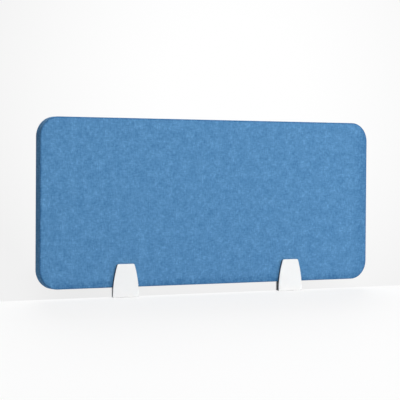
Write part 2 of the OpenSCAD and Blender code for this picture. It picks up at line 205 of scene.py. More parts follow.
def surface(name, patches, finish, maps=None):
    """A mesh from closed patches, each a grid of rows x columns points.

    Neighbours in a grid make quads. Points that meet are welded, which closes seams and poles.
    The volume swept by a patch's quads, the sum of a.(b x c + c x d) / 6, says which way they
    face, and they are turned round where it is negative. maps holds a UV in metres per patch.
    """
    points = np.concatenate([patch.reshape(-1, 3) for patch in patches])
    quads, first = [], 0
    for patch in patches:
        at = first + np.arange(patch[..., 0].size).reshape(patch.shape[:2])
        quad = np.stack([at[:-1, :-1], at[:-1, 1:], at[1:, 1:], at[1:, :-1]], -1).reshape(-1, 4)
        a, b, c, d = points[quad.T]
        if np.sum(a * (np.cross(b, c) + np.cross(c, d))) < 0:
            quad = quad[:, ::-1]
        quads.append(quad)
        first += at.size
    quads = np.concatenate(quads)
    mesh = bpy.data.meshes.new(name)
    mesh.from_pydata(points.tolist(), [], quads.tolist())
    if maps:
        flat = np.concatenate([uv.reshape(-1, 2) for uv in maps])
        layer = mesh.uv_layers.new(name="weave")
        layer.data.foreach_set("uv", flat[quads.ravel()].ravel())
    welded = bmesh.new()
    welded.from_mesh(mesh)
    bmesh.ops.remove_doubles(welded, verts=welded.verts, dist=weld_gap)
    bmesh.ops.dissolve_degenerate(welded, edges=welded.edges, dist=weld_gap)
    welded.to_mesh(mesh)
    welded.free()
    mesh.shade_smooth()
    mesh.set_sharp_from_angle(angle=sharp_angle)
    mesh.materials.append(finish.material)
    piece = bpy.data.objects.new(name, mesh)
    bpy.context.scene.collection.objects.link(piece)
    return piece


def stand_for(piece, body, slot, *replaced):
    """The piece rides on a body and hides the nodes that it stands for. Its slot is not used."""
    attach(piece, body)
    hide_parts(*replaced)


def ring(corners, steps, inset=0.0):
    """Closed row of points round a polygon with rounded corners, drawn in by inset.

    corners are (x, z, radius) against the clock, with a radius below 0 where the outline turns
    inwards. With n and m the inward normals of a corner's two sides, its arc has its centre at
    (inset + radius left) (n + m) / (1 + n.m) from the corner, and is that centre less the radius
    left times a normal that turns from n to m. The sides are cut in even steps.
    """
    flat, radii = np.split(np.array(corners, float), [2], axis=1)
    run = np.roll(flat, -1, axis=0) - flat
    run /= np.linalg.norm(run, axis=1, keepdims=True)
    after = np.stack([-run[:, 1], run[:, 0]], axis=1)
    before = np.roll(after, 1, axis=0)
    left = np.where(radii >= 0, np.maximum(radii - inset, 0), radii - inset)
    centre = flat + (before + after) * (inset + left) / (
        1 + np.sum(before * after, axis=1, keepdims=True))
    start = np.arctan2(before[:, 1:], before[:, :1])
    sweep = np.arctan2(after[:, 1:], after[:, :1]) - start
    sweep = (sweep + math.pi) % (2 * math.pi) - math.pi
    turn = start + sweep * np.linspace(0, 1, arc_steps + 1)
    arcs = centre[:, None] - left[:, None] * np.stack([np.cos(turn), np.sin(turn)], axis=-1)
    rows = []
    counts = np.broadcast_to(steps, len(arcs))
    for arc, following, count in zip(arcs, np.roll(arcs, -1, axis=0), counts):
        share = np.linspace(0, 1, count + 1)[1:-1, None]
        rows += [arc, arc[-1] + share * (following[0] - arc[-1])]
    return np.concatenate(rows + [arcs[0, :1]])


def stacked(rows, spine_low, spine_high):
    """Grid of points (x, y, z) from rows of (ring, share, y).

    A ring is pulled to a share of its distance from the spine, the nearest point of a thin box
    from spine_low to spine_high in its middle. Share 0 closes the grid there.
    """
    grid = []
    for outline, share, depth in rows:
        spine = np.clip(outline, spine_low, spine_high)
        flat = spine + (outline - spine) * share
        grid.append(np.stack([flat[:, 0], np.full(len(flat), depth), flat[:, 1]], axis=-1))
    return np.array(grid)


def block_rows(corners, steps, front, back, edge_r, fans=6):
    """Rows of a slab from the middle of one face, round its rim, to the middle of the other.

    Its edges are quarter circles: inset edge_r (1 - sin a), depth edge_r (1 - cos a).
    """
    inward = math.copysign(edge_r, back - front)
    inner = ring(corners, steps, edge_r)
    turn = np.linspace(0, math.pi / 2, edge_rows + 1)[1:]
    rims = [ring(corners, steps, edge_r * (1 - math.sin(a))) for a in turn]
    rises = [inward * (1 - math.cos(a)) for a in turn]
    rows = [(inner, share, front) for share in np.linspace(0, 1, fans)]
    rows += [(rim, 1, front + rise) for rim, rise in zip(rims, rises)]
    rows += [(rim, 1, back - rise) for rim, rise in zip(rims[::-1], rises[::-1])]
    return rows + [(inner, share, back) for share in np.linspace(1, 0, fans)]


def oblong(low, high, radius):
    """Corners of a rectangle, against the clock from its lower right."""
    return [(high[0], low[1], radius), (high[0], high[1], radius),
            (low[0], high[1], radius), (low[0], low[1], radius)]


def spine_of(low, high):
    """The line midway between the long sides of a rectangle, as its two ends."""
    low, high = np.array(low), np.array(high)
    middle, half = (low + high) / 2, (high - low) / 2
    return middle - (half - half.min()), middle + (half - half.min())


def swells(x, z):
    """Slow unevenness of a soft face, from -1 to 1: crossed sine waves 90 to 300 mm long."""
    return (np.sin(x / 0.021 + z / 0.047) + np.sin(x / 0.041 - z / 0.015 + 1.3)
            + np.sin(x / 0.014 + 2.1) * np.sin(z / 0.018 + 0.4)) / 3


felt = Finish("grey_recycled_felt", {"Roughness": 0.97, "Sheen Weight": 0.1})
strands = felt.noise(0.0009, 4, (3, 1, 1))
felt.feed("Base Color", felt.between(
    strands * 0.7 + felt.noise(0.012) * 0.3, (0.20, 0.21, 0.23, 1), (0.52, 0.55, 0.57, 1)))
felt.relief(strands, 0.0004)
bay_corner_r = 0.018
felt_edge_r = 0.0015
felt_swell = 0.0001
felt_steps = 24
for name, radii in (
        ("left_core", (0, 0, bay_corner_r, bay_corner_r)),
        ("middle_core", (0, 0, 0, 0)),
        ("right_core", (bay_corner_r, bay_corner_r, 0, 0))):
    low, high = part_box(name)
    low_xz, high_xz = (low.x, low.z), (high.x, high.z)
    middle = (np.array(low_xz) + high_xz) / 2
    corners = [(x, z, radius) for (x, z, _), radius in zip(oblong(low_xz, high_xz, 0), radii)]
    points = stacked(block_rows(corners, felt_steps, low.y, high.y, felt_edge_r), middle, middle)
    outward = np.where(points[..., 1] < (low.y + high.y) / 2, -1, 1)
    points[..., 1] += outward * felt_swell * (swells(points[..., 0], points[..., 2]) - 1)
    piece = surface(name.replace("core", "felt_slab"), [points], felt)
    stand_for(piece, "screen", "core_felt", name)

# Wadding
# A thin layer of white polyester wadding, glued on each face of the frame, softens the panel
# under its fabric. It is pulled thinner towards the edges, where the cloth turns round.
panel_low, panel_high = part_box("front_cover")
panel_back_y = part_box("rear_cover")[1].y
panel_corner_r = 0.07
panel_corners = oblong((panel_low.x, panel_low.z), (panel_high.x, panel_high.z), panel_corner_r)
panel_steps = (84, 230, 84, 230)
panel_spine = spine_of((panel_low.x, panel_low.z), (panel_high.x, panel_high.z))
cloth_t = panel_high.y - panel_low.y
fall_reach = 0.036
fall_depth = 0.0019
rim_r = 0.0034
rim_lean = 0.1014
cloth_gap = 0.00002
wadding_foot_inset = 0.0016
wadding_turn = 1.2


def fall(inset):
    """How far a face lies behind its middle: a parabola that starts at fall_reach."""
    return fall_depth * (1 - inset / fall_reach) ** 2


rim_centre = fall(rim_r * (1 - math.sin(rim_lean))) + rim_r * math.cos(rim_lean)


def rim(turn, under=0.0):
    """(inset, depth) on the circle that carries a face over into the edge, under its surface."""
    radius = rim_r - under
    return rim_r - radius * math.sin(turn), rim_centre - radius * math.cos(turn)


def panel_rows(section, front, toward_back):
    """Rows round the panel from a section of (share, inset, depth behind the face)."""
    return [(ring(panel_corners, panel_steps, inset), share, front + toward_back * depth)
            for share, inset, depth in section]


wadding = Finish("white_polyester_wadding", {"Roughness": 1.0, "Sheen Weight": 0.3})
fluff = wadding.noise(0.0016, 4, (2.5, 1, 1))
wadding.feed("Base Color", wadding.between(fluff, (0.80, 0.80, 0.78, 1), (0.95, 0.95, 0.93, 1)))
wadding.relief(fluff, 0.0008)
for name, front, base, toward_back in (
        ("front_wadding", panel_low.y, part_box("front_wadding")[1].y, 1),
        ("rear_wadding", panel_back_y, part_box("rear_wadding")[0].y, -1)):
    under = cloth_t + cloth_gap
    section = [(share, fall_reach, under) for share in np.linspace(0, 1, 12)]
    section += [(1, inset, fall(inset) + under) for inset in np.linspace(fall_reach, rim_r, 8)[1:]]
    section += [(1, *rim(turn, under)) for turn in np.linspace(rim_lean, wadding_turn, 5)]
    rows = panel_rows(section, front, toward_back)
    foot = ring(panel_corners, panel_steps, wadding_foot_inset)
    rows += [(foot, share, base) for share in (1, 0.7, 0.35, 0)]
    points = stacked(rows, *panel_spine)
    piece = surface(name + "_layer", [points], wadding)
    stand_for(piece, "screen", "wadding", name)

# Fabric covers
# Blue melange cloth, plain woven from mottled yarn. A cover is stretched over each face, falls
# away a little towards its edge, and is sewn to the edge band in a sunk seam.
warp_pitch = 0.00085
weft_pitch = 0.00095
seam_turn = math.radians(46)
seam_half = math.radians(7)
seam_depth = 0.0007
pucker = 0.00007
cloth_swell = 0.00016
# Reaches of the shade painted into the cloth's colour low down and at its +X end.
low_shade_reach = 0.037
end_shade_reach = 0.075
end_shade_full = 0.015
seam_shade_from = 0.002
seam_shade_to = 0.0075
many_gathers = 151
fewer_gathers = 93


def woven(name):
    """Plain weave over the piece's own UV, in metres.

    sin(u) sin(v) changes its sign from one crossing to the next: the sign says which yarn lies
    on top, the size how high. Each yarn's tone varies along it, thicker slubs run both ways, and
    coarser noise mottles it. A share of the tone's square is added, so that light flecks stand
    out as much as dark ones. Shade is painted into the colour: the cloth is darker along its
    seams, low down and at its +X end. The depth inside the panel's outline is a corner's
    radius less the distance from the corner's centre, or from the straight line between two
    centres. The painted seam shade fades out over the band, towards the middle of the panel's
    thickness.
    """
    cloth = Finish(name, {
        "Roughness": 0.92, "Specular IOR Level": 0.2, "Sheen Weight": 0.06,
        "Sheen Roughness": 0.5, "Sheen Tint": (0.75, 0.85, 1, 1)})
    at = cloth.add("UVMap", {"uv_map": "weave"}, {})
    across = cloth.add("SeparateXYZ", {}, {0: at})
    warp_wave = (across * (math.pi / warp_pitch)).math("SINE")
    weft_wave = (across.also(1) * (math.pi / weft_pitch)).math("SINE")
    crossing = warp_wave * weft_wave
    warp = cloth.noise(warp_pitch, 1, (1, 9, 1), at)
    weft = cloth.noise(weft_pitch, 1, (11, 1, 1), at)
    yarn = weft + (crossing > 0) * (warp - weft)
    slubs = cloth.noise(0.0045, 2, (1, 4.5, 1), at) + cloth.noise(0.0045, 2, (3.5, 1, 1), at)
    mottle = cloth.noise(0.01, 1, (1, 1, 1), at) + cloth.noise(0.035, 2, (1, 1, 1), at)
    spot = cloth.add("SeparateXYZ", {}, {0: cloth.place})
    height = spot.also(2)
    middle = (panel_low + panel_high) / 2
    straight = (panel_high - panel_low) / 2 - Vector((1, 1, 1)) * panel_corner_r
    beside = (abs(spot - middle.x) - straight.x).math("MAXIMUM", 0)
    above = (abs(height - middle.z) - straight.z).math("MAXIMUM", 0)
    inside = panel_corner_r - (beside * beside + above * above) ** 0.5
    # Painted shade: the cloth is darker along its seams, fading out over the band.
    painted_seam_shade = cloth.add("MapRange", {"interpolation_type": "SMOOTHSTEP"}, {
        0: inside, 1: seam_shade_from, 2: seam_shade_to, 3: 1, 4: 0})
    off_middle = abs(spot.also(1) - (panel_low.y + panel_back_y) / 2)
    painted_seam_shade = painted_seam_shade * (off_middle * 200 - 2.6).math("MAXIMUM", 0).math("MINIMUM", 1)
    # Painted shade: the cloth is darker towards its lower edge.
    painted_low_shade = cloth.add("MapRange", {"interpolation_type": "SMOOTHSTEP"}, {
        0: height, 1: panel_low.z, 2: panel_low.z + low_shade_reach, 3: 1, 4: 0})
    # Painted shade: the cloth is darker towards its +X end.
    painted_end_shade = cloth.add("MapRange", {"interpolation_type": "SMOOTHSTEP"}, {
        0: spot, 1: panel_high.x - end_shade_reach, 2: panel_high.x - end_shade_full, 3: 0, 4: 1})
    # All the painted shade is taken off the tone.
    painted_shade = (painted_low_shade * 0.2).math("MAXIMUM", painted_seam_shade * 0.3) + painted_end_shade * 0.16
    even = yarn * 0.6 + slubs * 0.62 + mottle * 0.54 - 1.46
    tone = even + even * even * 0.9 + 0.43 - painted_shade
    cloth.feed("Base Color", cloth.between(
        tone, (0.033, 0.142, 0.321, 1), (0.155, 0.381, 0.661, 1)))
    cloth.relief(abs(crossing) ** 0.5, 0.0002)
    return cloth


def rolled_under(turn, side):
    """Three points where the cloth rolls down into the seam's groove beside turn."""
    return [rim(turn + side * seam_half, 0), rim(turn + side * seam_half * 0.3, seam_depth * 0.35),
            rim(turn, seam_depth)]


cloth = woven("blue_melange_cloth")
for name, node, front, toward_back in (
        ("front_fabric", "front_cover", panel_low.y, 1),
        ("rear_fabric", "rear_cover", panel_back_y, -1)):
    outer = [(share, fall_reach, 0) for share in np.linspace(0, 1, 16)]
    outer += [(1, inset, fall(inset)) for inset in np.linspace(fall_reach, rim_r, 9)[1:]]
    arc = np.linspace(rim_lean, seam_turn - seam_half, 6)[:-1]
    rolled = [(1, *spot) for spot in rolled_under(seam_turn, -1)]
    inner = [(share, inset, depth + cloth_t) for share, inset, depth in outer]
    inner += [(1, *rim(turn, cloth_t)) for turn in (rim_lean, 0.3, 0.55, seam_turn)]
    section = outer + [(1, *rim(turn)) for turn in arc] + rolled + inner[::-1]
    points = stacked(panel_rows(section, front, toward_back), *panel_spine)
    flat = points[..., [0, 2]].copy()
    edge = ring(panel_corners, panel_steps)
    along = np.concatenate([[0], np.cumsum(np.linalg.norm(np.diff(edge, axis=0), axis=1))])
    once = along / along[-1] * 2 * math.pi
    gathers = 0.6 * np.sin(once * many_gathers) + 0.4 * np.sin(once * fewer_gathers + 1)
    nearness = np.clip((points[..., 1] - front) * toward_back / fall_depth - 0.3, 0, 1)
    nearness *= np.array([row[0] for row in section])[:, None] == 1
    points[..., 1] += toward_back * pucker * gathers * nearness
    points[..., 1] += cloth_swell * swells(points[..., 0], points[..., 2])
    piece = surface(name, [points], cloth, [flat])
    stand_for(piece, "screen", "cover_fabric", node)

# Edge band
# A strip of the same cloth, pulled taut round the frame's edge and sewn to both covers. Its two
# ends meet in a butt seam under the panel.
band_out = [rim(turn) for turn in np.linspace(seam_turn + seam_half, math.pi / 2, 6)[1:]]
half_band = rolled_under(seam_turn, 1)[::-1] + band_out
panel_t = panel_back_y - panel_low.y
outside = half_band + [(inset, panel_t - depth) for inset, depth in half_band[::-1]]
half_lining = [rim(turn, cloth_t) for turn in np.linspace(seam_turn, math.pi / 2, 5)]
lining = half_lining + [(inset, panel_t - depth) for inset, depth in half_lining[::-1]]
section = [(1, *spot) for spot in outside + lining[::-1] + outside[:1]]
points = stacked(panel_rows(section, panel_low.y, 1), *panel_spine)
width = np.cumsum(np.concatenate([[0], np.hypot(*np.diff(np.array(section)[:, 1:], axis=0).T)]))
width = np.where(np.arange(len(section)) < len(outside), width, width.max() / 2)
flat = np.stack(np.broadcast_arrays(along[None], width[:, None]), axis=-1)
piece = surface("edge_fabric", [points], cloth, [flat])
stand_for(piece, "screen", "band_fabric", "edge_band")

# Front plates
# Flat castings, 3 mm thick, with a long curved taper and a rounded top. Each has two bosses
# behind for the bolts' sleeves, and a satin white powder coat.
clamps = {side: sum(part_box(side + "_front_plate"), Vector()).x / 2 for side in ("left", "right")}


def clamp_box(node):
    """Lowest and highest corners of a node of the left clamp, from the clamp's middle."""
    shift = Vector((clamps["left"], 0, 0))
    return tuple(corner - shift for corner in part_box("left_" + node))


def clamp_pieces(word, node, body, slot, finish, patches):
    """Makes a piece for each clamp from patches drawn round x = 0."""
    for side, x in clamps.items():
        moved = [patch + np.array([x, 0, 0]) for patch in patches]
        rider = body if body == "screen" else side + body
        stand_for(surface(f"{side}_{word}", moved, finish), rider, slot, f"{side}_{node}")


def turned(centre, stations, along="z", columns=64):
    """Grid of points turned round an axis through centre, from stations (radius, height).

    A point lies radius times the cosine and sine of its angle from the axis. A radius may also
    be a row with one value for each of the columns + 1 angles.
    """
    angle = np.linspace(0, 2 * math.pi, columns + 1)
    rows = []
    for radius, height in stations:
        a, b = radius * np.cos(angle), radius * np.sin(angle)
        c = np.full(columns + 1, height)
        rows.append(np.stack([a, b, c] if along == "z" else [a, c, b], axis=-1))
    return np.array(rows) + np.array(centre)


plate_low, plate_high = clamp_box("front_plate")
plate_top_half = 0.0335
plate_top_r = 0.007
plate_foot_r = 0.0015
plate_edge_r = 0.0015
plate_wall = 0.003
plate_back_bevel = 0.0003
plate_spine_low = (0, 0.045)
plate_spine_high = (0, 0.085)
bolt_x = 0.015
bolt_z = 0.018
boss_r = 0.007
boss_bevel = 0.0004
insert_r = 0.004
insert_l = 0.005
side_z = plate_low.z + plate_foot_r
side_draw = plate_high.x - plate_top_half
side_r = ((plate_high.z - side_z) ** 2 + side_draw ** 2) / (2 * side_draw)
top_turn = math.asin((plate_high.z - side_z - plate_top_r) / (side_r - plate_top_r))
tangent_z = side_z + side_r * math.tan(top_turn / 2)
tangent_x = plate_high.x - (plate_high.z - tangent_z) * math.tan(top_turn)
plate_corners = [(plate_high.x, plate_low.z, plate_foot_r), (plate_high.x, tangent_z, side_r),
                 (tangent_x, plate_high.z, plate_top_r)]
plate_corners += [(-x, z, radius) for x, z, radius in plate_corners[::-1]]
plate_back = plate_low.y + plate_wall
rolled = [(plate_edge_r * (1 - math.sin(a)), plate_low.y + plate_edge_r * (1 - math.cos(a)))
          for a in np.linspace(0, math.pi / 2, 9)]
rolled += [(0, plate_back - plate_back_bevel),
           (plate_back_bevel / 3, plate_back - plate_back_bevel / 3),
           (plate_back_bevel, plate_back)]
fans = np.linspace(0, 1, 7)[:-1]
plate_steps = (2, 2, 14, 2, 2, 16)
rows = [(ring(plate_corners, plate_steps, rolled[0][0]), share, plate_low.y) for share in fans]
rows += [(ring(plate_corners, plate_steps, inset), 1, depth) for inset, depth in rolled]
rows += [(rows[-1][0], share, plate_back) for share in fans[::-1]]
plate_patches = [stacked(rows, plate_spine_low, plate_spine_high)]
for x in (-bolt_x, bolt_x):
    plate_patches.append(turned((x, 0, bolt_z), [
        (0, plate_back - plate_wall / 2), (boss_r, plate_back - plate_wall / 2),
        (boss_r, plate_high.y - boss_bevel), (boss_r - boss_bevel, plate_high.y),
        (insert_r, plate_high.y), (insert_r, plate_high.y - insert_l),
        (0, plate_high.y - insert_l)], "y"))


def powder_coat(name):
    """Satin white: fine orange peel that varies the gloss, and a tone that varies in patches."""
    paint = Finish(name, {"Specular IOR Level": 0.5})
    peel = paint.noise(0.0013, 1)
    paint.feed("Base Color", paint.between(
        paint.noise(0.02), (0.865, 0.865, 0.86, 1), (0.895, 0.895, 0.885, 1)))
    paint.feed("Roughness", peel * 0.1 + 0.37)
    paint.relief(peel, 0.00003)
    return paint


white_paint = powder_coat("satin_white_powder_coat")
clamp_pieces("plate_casting", "front_plate", "screen", "plate_paint", white_paint, plate_patches)

# Front pads
# Thick black rubber, cut to the plates' outline and glued behind them, so that they hold the
# panel without marking its fabric.


def softened(word, node, body, slot, finish, width):
    """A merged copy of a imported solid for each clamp, with its sharp edges rounded by width."""
    for side in clamps:
        merged = bmesh.new()
        merged.from_mesh(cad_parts[f"{side}_{node}"].data)
        bmesh.ops.remove_doubles(merged, verts=merged.verts, dist=weld_gap)
        bmesh.ops.dissolve_limit(
            merged, angle_limit=0.005, verts=merged.verts, edges=merged.edges)
        mesh = bpy.data.meshes.new(f"{side}_{word}")
        merged.to_mesh(mesh)
        merged.free()
        mesh.shade_smooth()
        mesh.set_sharp_from_angle(angle=sharp_angle)
        mesh.materials.append(finish.material)
        piece = bpy.data.objects.new(f"{side}_{word}", mesh)
        bpy.context.scene.collection.objects.link(piece)
        bevel = piece.modifiers.new("rounded_edges", "BEVEL")
        bevel.width = width
        bevel.segments = 2
        bevel.angle_limit = sharp_angle
        stand_for(piece, body, slot, f"{side}_{node}")


rubber = Finish("black_rubber", {"Specular IOR Level": 0.35})
skin = rubber.noise(0.0007, 3)
rubber.feed("Base Color", rubber.between(
    rubber.noise(0.006, 3), (0.022, 0.022, 0.022, 1), (0.040, 0.040, 0.040, 1)))
rubber.feed("Roughness", skin * 0.2 + 0.62)
rubber.relief(skin, 0.00006)
softened("plate_pad", "front_pad", "screen", "pad_rubber", rubber, 0.0004)

# Bolt inserts
# Turned brass sleeves with an inner thread, pressed into the plates' bosses. The cross bolts
# screw into them.
brass = Finish("turned_brass", {"Metallic": 1})
lathe_marks = brass.noise(0.0004, 2, (4, 1, 4))
brass.feed("Base Color", brass.between(
    lathe_marks, (0.66, 0.50, 0.22, 1), (0.76, 0.60, 0.30, 1)))
brass.feed("Roughness", lathe_marks * 0.15 + 0.25)
brass.relief(lathe_marks, 0.00002)
softened("brass_sleeves", "bolt_inserts", "screen", "insert_brass", brass, 0.0002)

# Saddle blocks
# Black glass-filled nylon, moulded. The panel's lower edge sits on the block, whose front flange
# is as wide as the plate that it backs, and the foot pad is let into its underside.
nylon = Finish("black_glass_filled_nylon", {"Specular IOR Level": 0.4})
grain = nylon.noise(0.0005, 2)
nylon.feed("Base Color", nylon.between(
    nylon.noise(0.004, 3), (0.024, 0.024, 0.026, 1), (0.038, 0.038, 0.041, 1)))
nylon.feed("Roughness", grain * 0.18 + 0.44)
nylon.relief(grain, 0.00004)
softened("saddle", "saddle_block", "screen", "block_nylon", nylon, 0.0008)

# Foot pads
# Soft black rubber under each saddle block, a little below the plate's rim. They carry the
# screen's weight on the desk-top and have shallow grooves for grip.
foot_low, foot_high = clamp_box("foot_pad")
foot_corner_r = 0.001
foot_edge_r = 0.0004
foot_groove = 0.0005
foot_groove_pitch = 0.0046
grooved_steps = 60
grooved_fans = 12
flush = 1e-6


def grooves(place, pitch):
    """1 in the grooves across a face, 0 between: a cosine's crests, made four times as steep."""
    return np.clip(np.cos(place * 2 * math.pi / pitch) * 4 - 2.6, 0, 1)


low, high = (foot_low.x, foot_low.y), (foot_high.x, foot_high.y)
rows = block_rows(oblong(low, high, foot_corner_r), grooved_steps, foot_low.z, foot_high.z,
                  foot_edge_r, grooved_fans)
points = stacked(rows, *spine_of(low, high))[..., [0, 2, 1]]
sunk = foot_groove * grooves(points[..., 0], foot_groove_pitch)
points[..., 2] += np.where(points[..., 2] < foot_low.z + flush, sunk, 0)
clamp_pieces("grip_foot", "foot_pad", "screen", "pad_rubber", rubber, [points])

# Rear brackets
# One strap of 5 mm steel for each clamp, bent under the desk-top: it stands behind the panel,
# rounded at the top, and its arm tapers to a round nose. It has the plates' white coat.
strap_low, strap_high = clamp_box("rear_bracket")
strap_t = 0.005
strap_front_y = strap_high.y - strap_t
bend_inner_r = 0.005
bend_y = strap_front_y - bend_inner_r
bend_z = strap_low.z + strap_t + bend_inner_r
upright_l = strap_high.z - bend_z
bend_l = (bend_inner_r + strap_t / 2) * math.pi / 2
arm_start = upright_l + bend_l
arm_end = arm_start + bend_y - strap_low.y
nose_r = 0.022
strap_top_r = 0.008
shoulder_r = 0.006
shoulder_l = 0.010
strap_edge_r = 0.0009
strap_spine_top = (0, 0.030)
shoulder = arm_start + shoulder_l
nose_rise = arm_end - nose_r - shoulder
taper = math.atan2(strap_high.x, nose_rise) - math.asin(
    nose_r / math.hypot(strap_high.x, nose_rise))
nose_x = strap_high.x - (arm_end - shoulder) * math.tan(taper)
strap_side = [(strap_high.x, 0, strap_top_r), (strap_high.x, shoulder, shoulder_r),
              (nose_x, arm_end, nose_r)]
strap_corners = strap_side + [(-x, v, radius) for x, v, radius in strap_side[::-1]]
strap_steps = (130, 8, 4, 8, 130, 8)
strap_rows = block_rows(strap_corners, strap_steps, 0, strap_t, strap_edge_r, 7)
flat_strap = stacked(strap_rows, strap_spine_top, (0, arm_end - nose_r))


def bent(flat):
    """Carries a flat strap, along v and with depth t, down, round the bend and along the arm.

    Over the bend the angle is (v - start) / middle radius, and the radius is inner radius + t.
    """
    x, t, v = np.moveaxis(flat, -1, 0)
    angle = np.clip((v - upright_l) * (math.pi / 2) / bend_l, 0, math.pi / 2)
    radius = bend_inner_r + t
    y = bend_y + radius * np.cos(angle) - np.maximum(v - arm_start, 0)
    z = bend_z - radius * np.sin(angle) + np.maximum(upright_l - v, 0)
    return np.stack([x, y, z], axis=-1)


clamp_pieces("bent_strap", "rear_bracket", "screen", "bracket_paint", white_paint,
             [bent(flat_strap)])

# Rear pads
# Thin black rubber, glued on the straps, so that they don't mark the fabric at the panel's
# back.
softened("strap_pad", "rear_pad", "screen", "pad_rubber", rubber, 0.0003)

# Edge buffers
# Moulded black rubber with ribs, glued on the inner side of each strap. The desk-top's rear
# edge butts on it.
buffer_low, buffer_high = clamp_box("edge_buffer")
buffer_corner_r = 0.002
buffer_edge_r = 0.0005
buffer_groove = 0.0007
buffer_groove_pitch = 0.0053
low, high = (buffer_low.x, buffer_low.z), (buffer_high.x, buffer_high.z)
rows = block_rows(oblong(low, high, buffer_corner_r), grooved_steps, buffer_low.y, buffer_high.y,
                  buffer_edge_r, grooved_fans)
points = stacked(rows, *spine_of(low, high))
sunk = buffer_groove * grooves(points[..., 2], buffer_groove_pitch)
points[..., 1] += np.where(points[..., 1] < buffer_low.y + flush, sunk, 0)
clamp_pieces("ribbed_buffer", "edge_buffer", "screen", "pad_rubber", rubber, [points])

# Cross bolts
# Zinc-plated M6 bolts with a low head and a hexagon socket. Two of them draw each strap and
# plate together through the saddle block.
zinc = Finish("zinc_plated_steel", {"Metallic": 1})
spangle = zinc.noise(0.0015, 2)
zinc.feed("Base Color", zinc.between(spangle, (0.55, 0.55, 0.55, 1), (0.65, 0.65, 0.655, 1)))
zinc.feed("Roughness", spangle * 0.2 + 0.26)
zinc.relief(zinc.noise(0.0004, 2), 0.00001)
bolt_low, bolt_high = clamp_box("cross_bolts")
bolt_r = 0.003
head_r = 0.00525
head_seat = strap_high.y
head_rim_h = 0.0018
crown_turn = 1.05
point_bevel = 0.0006
socket_half = 0.002
socket_depth = 0.00204
socket_bevel = 0.0002
socket_cone = 0.0005
socket_columns = 72
turn = np.linspace(0, 2 * math.pi, socket_columns + 1)
socket = socket_half / np.cos((turn % (math.pi / 3)) - math.pi / 6)
rim_y = head_seat + head_rim_h
crown = [(head_r * math.cos(a), rim_y + (bolt_high.y - rim_y) * math.sin(a))
         for a in np.linspace(0, crown_turn, 7)]
crown_y = crown[-1][1]
floor_y = bolt_high.y - socket_depth
stations = [(0, bolt_low.y), (bolt_r - point_bevel, bolt_low.y),
            (bolt_r, bolt_low.y + point_bevel), (bolt_r, head_seat), (head_r, head_seat)] + crown
stations += [(socket + socket_bevel, crown_y), (socket, crown_y - socket_bevel),
             (socket, floor_y), (0, floor_y - socket_cone)]
clamp_pieces("socket_bolts", "cross_bolts", "screen", "fastener_steel", zinc,
             [turned((x, 0, bolt_z), stations, "y", socket_columns) for x in (-bolt_x, bolt_x)])

# Panel screws
# Zinc-plated wood screws with a round head and a cross recess, through the strap and into the
# panel's bottom rail.
softened("recess_screws", "panel_screws", "screen", "fastener_steel", zinc, 0.0003)

# Screw bushes
# Steel bushes with an inner thread, pressed into the arms from above until their flange seats.
# The clamp screws run in them.
bush_low, bush_high = clamp_box("screw_bush")
screw_y = (bush_low.y + bush_high.y) / 2
flange_r = bush_high.x
bush_r = 0.008
bore_r = 0.00505
bevel = 0.0006
flange_z = strap_low.z + strap_t
stations = [
    (bore_r, bush_low.z + bevel), (bore_r + bevel, bush_low.z), (bush_r - bevel, bush_low.z),
    (bush_r, bush_low.z + bevel), (bush_r, flange_z), (flange_r, flange_z),
    (flange_r, bush_high.z - bevel), (flange_r - bevel, bush_high.z),
    (bore_r + bevel, bush_high.z), (bore_r, bush_high.z - bevel), (bore_r, bush_low.z + bevel)]
clamp_pieces("threaded_bush", "screw_bush", "screen", "fastener_steel", zinc,
             [turned((0, screw_y, 0), stations)])

# Pressure plates
# Turned discs of zinc-plated steel with a hub below. They turn freely on the clamp screws'
# stubs, and a well in the top keeps the clip clear of the desk-top.
disc_low, disc_high = clamp_box("pressure_plate")
disc_r = disc_high.x
disc_columns = 96
disc_t = 0.004
disc_under_z = disc_high.z - disc_t
fillet = 0.001
fillet_mid = 0.0003
hub_r = 0.008
stub_bore_r = 0.00305
well_r = 0.007
well_depth = 0.0024
stations = [
    (stub_bore_r, disc_low.z), (hub_r - bevel, disc_low.z), (hub_r, disc_low.z + bevel),
    (hub_r, disc_under_z - fillet), (hub_r + fillet_mid, disc_under_z - fillet_mid),
    (hub_r + fillet, disc_under_z), (disc_r - fillet, disc_under_z),
    (disc_r - fillet_mid, disc_under_z + fillet_mid), (disc_r, disc_under_z + fillet),
    (disc_r, disc_high.z), (well_r, disc_high.z), (well_r, disc_high.z - well_depth),
    (stub_bore_r, disc_high.z - well_depth), (stub_bore_r, disc_low.z)]
clamp_pieces("pressure_disc", "pressure_plate", "_jaw", "fastener_steel", zinc,
             [turned((0, screw_y, 0), stations, columns=disc_columns)])

# Pressure pads
# Black rubber faces, moulded on the discs, with ring grooves for grip where they press on the
# desk-top's underside.
face_low, face_high = clamp_box("pressure_pad")
ring_groove = 0.0006
ring_pitch = 0.004
face_bevel = 0.0006
across = np.linspace(0, disc_r - face_bevel, 60)
rings = np.clip(np.cos(across * 2 * math.pi / ring_pitch) * -4 - 2.2, 0, 1)
stations = [(0, face_low.z), (disc_r, face_low.z), (disc_r, face_high.z - face_bevel),
            (disc_r - face_bevel / 3, face_high.z - face_bevel / 3)]
stations += [(r, face_high.z - ring_groove * sunk) for r, sunk in zip(across[::-1], rings[::-1])]
clamp_pieces("grooved_face", "pressure_pad", "_jaw", "pad_rubber", rubber,
             [turned((0, screw_y, 0), stations, columns=disc_columns)])

# Retaining clips
# Spring-steel rings in a groove of each stub, which keep the discs on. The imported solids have
# their true shape.
for side in clamps:
    coat(side + "_retaining_clip", zinc)

